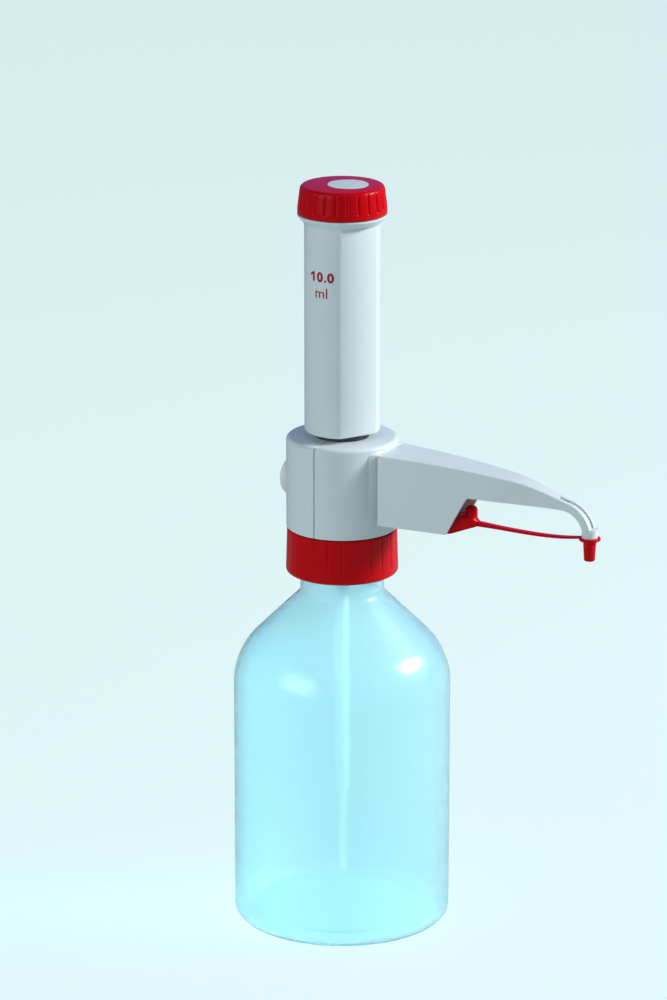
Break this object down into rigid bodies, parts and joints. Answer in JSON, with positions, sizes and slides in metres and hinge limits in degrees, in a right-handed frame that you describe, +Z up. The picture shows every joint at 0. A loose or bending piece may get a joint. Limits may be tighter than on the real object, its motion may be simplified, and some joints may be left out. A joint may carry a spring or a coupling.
{
  "type": "bottle-top dispenser",
  "caption": "Piston dispenser screwed on a translucent reagent bottle, with a swivelling spout block, a sleeve that is pulled up to fill and a red fluted cap and collar.",
  "frame": {"origin": "centre of the bottle's flat base, on the surface it stands on", "axes": "+Z up along the bottle and pump axis, +X along the spout"},
  "size_m": [0.1868, 0.103, 0.3586],
  "materials": {
    "translucent_bottle": "translucent blue polypropylene",
    "white_plastic": "fine satin",
    "red_plastic": "satin",
    "white_disc": "satin",
    "warm_white": "satin",
    "natural_plastic": "satin",
    "clear_tube": "clear fluoropolymer",
    "glass": "polished",
    "dark_guide": "satin",
    "seal": "matt",
    "ceramic": "polished",
    "spring_metal": "bright"
  },
  "bodies": {
    "bottle": {"bottle": "translucent_bottle"},
    "adapter": {"neck_gasket": "seal", "neck_plug": "natural_plastic"},
    "collar": {"screw_collar": "red_plastic"},
    "block": {"housing_front": "white_plastic", "housing_rear": "white_plastic", "spout_cover": "white_plastic", "valve_block": "natural_plastic", "intake_valve_seat": "natural_plastic", "intake_cage": "natural_plastic", "upper_filling_tube": "clear_tube", "discharge_valve_body": "natural_plastic", "tube_union": "natural_plastic", "discharge_spring": "spring_metal", "discharge_tube": "clear_tube", "vent_filter": "natural_plastic", "cap_holder": "red_plastic", "cap_strap": "red_plastic", "barrel_seal": "seal", "glass_barrel": "glass", "guide_sleeve": "dark_guide"},
    "head": {"dispensing_sleeve": "white_plastic", "stop_bush": "natural_plastic", "head_cap": "red_plastic", "cap_disc": "white_disc", "piston_rod": "natural_plastic", "piston_head": "natural_plastic", "piston_seal": "seal", "rod_nut": "natural_plastic"},
    "vent": {"vent_cap": "warm_white"},
    "tip": {"tip_cap": "red_plastic"},
    "lower_tube": {"lower_filling_tube": "clear_tube"},
    "inlet_ball": {"intake_ball": "ceramic"},
    "outlet_ball": {"discharge_ball": "ceramic"}
  },
  "joints": [
    {"name": "dispenser_lift", "type": "slide", "parent": "bottle", "child": "adapter", "axis": [0, 0, 1], "range_m": [0, 0.008]},
    {"name": "collar_turn", "type": "hinge", "parent": "adapter", "child": "collar", "pos_m": [0, 0, 0.183], "axis": [0, 0, 1], "range_deg": [0, 721]},
    {"name": "block_swivel", "type": "hinge", "parent": "adapter", "child": "block", "pos_m": [0, 0, 0.19], "axis": [0, 0, 1], "continuous": true},
    {"name": "piston_stroke", "type": "slide", "parent": "block", "child": "head", "axis": [0, 0, 1], "range_m": [0, 0.0566]},
    {"name": "vent_cap_pull", "type": "slide", "parent": "block", "child": "vent", "axis": [-1, 0, 0], "range_m": [0, 0.009]},
    {"name": "tip_cap_pull", "type": "slide", "parent": "block", "child": "tip", "axis": [0, 0, -1], "range_m": [0, 0.012], "deforming": ["cap_strap"]},
    {"name": "tube_telescope", "type": "slide", "parent": "block", "child": "lower_tube", "axis": [0, 0, 1], "range_m": [0, 0.03]},
    {"name": "intake_ball_lift", "type": "slide", "parent": "block", "child": "inlet_ball", "axis": [0, 0, 1], "range_m": [0, 0.001]},
    {"name": "discharge_ball_travel", "type": "slide", "parent": "block", "child": "outlet_ball", "axis": [1, 0, 0], "range_m": [0, 0.0008], "deforming": ["discharge_spring"]}
  ],
  "couplings": [
    {"joint": "collar_turn", "follows": "dispenser_lift", "rad_per_m": 1570.8}
  ]
}
